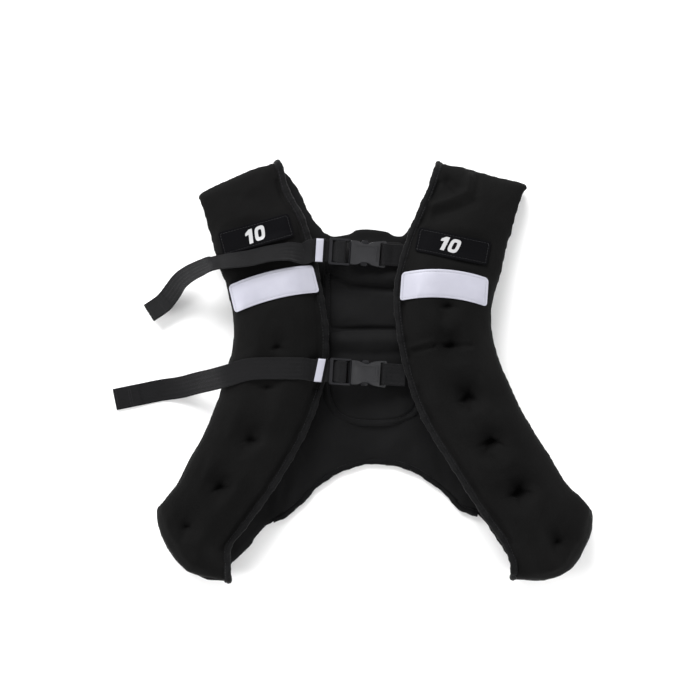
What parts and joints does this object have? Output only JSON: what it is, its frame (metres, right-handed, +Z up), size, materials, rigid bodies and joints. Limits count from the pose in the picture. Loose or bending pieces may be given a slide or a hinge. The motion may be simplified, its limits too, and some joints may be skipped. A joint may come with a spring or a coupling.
{
  "type": "weighted vest",
  "caption": "Padded weighted vest lying flat on its back, with a cross-shaped back, folded front panels, webbing straps with loose tails and side release buckles.",
  "frame": {"origin": "on the vest's centre line at the flat underside of the back panel, which lies on the surface", "axes": "+Z up out of the front side, +Y from the hem to the shoulders, +X towards the side without strap tails"},
  "size_m": [0.5316, 0.4677, 0.0655],
  "materials": {
    "shell_fabric": "matt black knit-faced neoprene",
    "pad_fabric": "matt black knit over foam and weight pockets",
    "binding_tape": "black woven edge binding, stitched",
    "label_patch": "black rubberised patch with pale plain figures",
    "reflective": "light grey retroreflective cloth, bare",
    "buckle_plastic": "dark grey moulded acetal, semi gloss",
    "webbing": "black woven polypropylene webbing"
  },
  "bodies": {
    "root": {"back_panel": "shell_fabric", "left_front_panel": "shell_fabric", "right_front_panel": "shell_fabric", "back_weight_pad": "pad_fabric", "left_front_binding": "binding_tape", "right_front_binding": "binding_tape", "back_hem_binding": "binding_tape", "left_label_patch": "label_patch", "right_label_patch": "label_patch", "left_reflective_band": "reflective", "right_reflective_band": "reflective", "upper_buckle_female": "buckle_plastic", "upper_buckle_male": "buckle_plastic", "lower_buckle_female": "buckle_plastic", "lower_buckle_male": "buckle_plastic", "upper_anchor_webbing": "webbing", "lower_anchor_webbing": "webbing", "upper_keeper": "webbing", "lower_keeper": "webbing", "upper_keeper_stripe": "reflective", "lower_keeper_stripe": "reflective", "upper_strap": "webbing", "lower_strap": "webbing"}
  },
  "joints": []
}
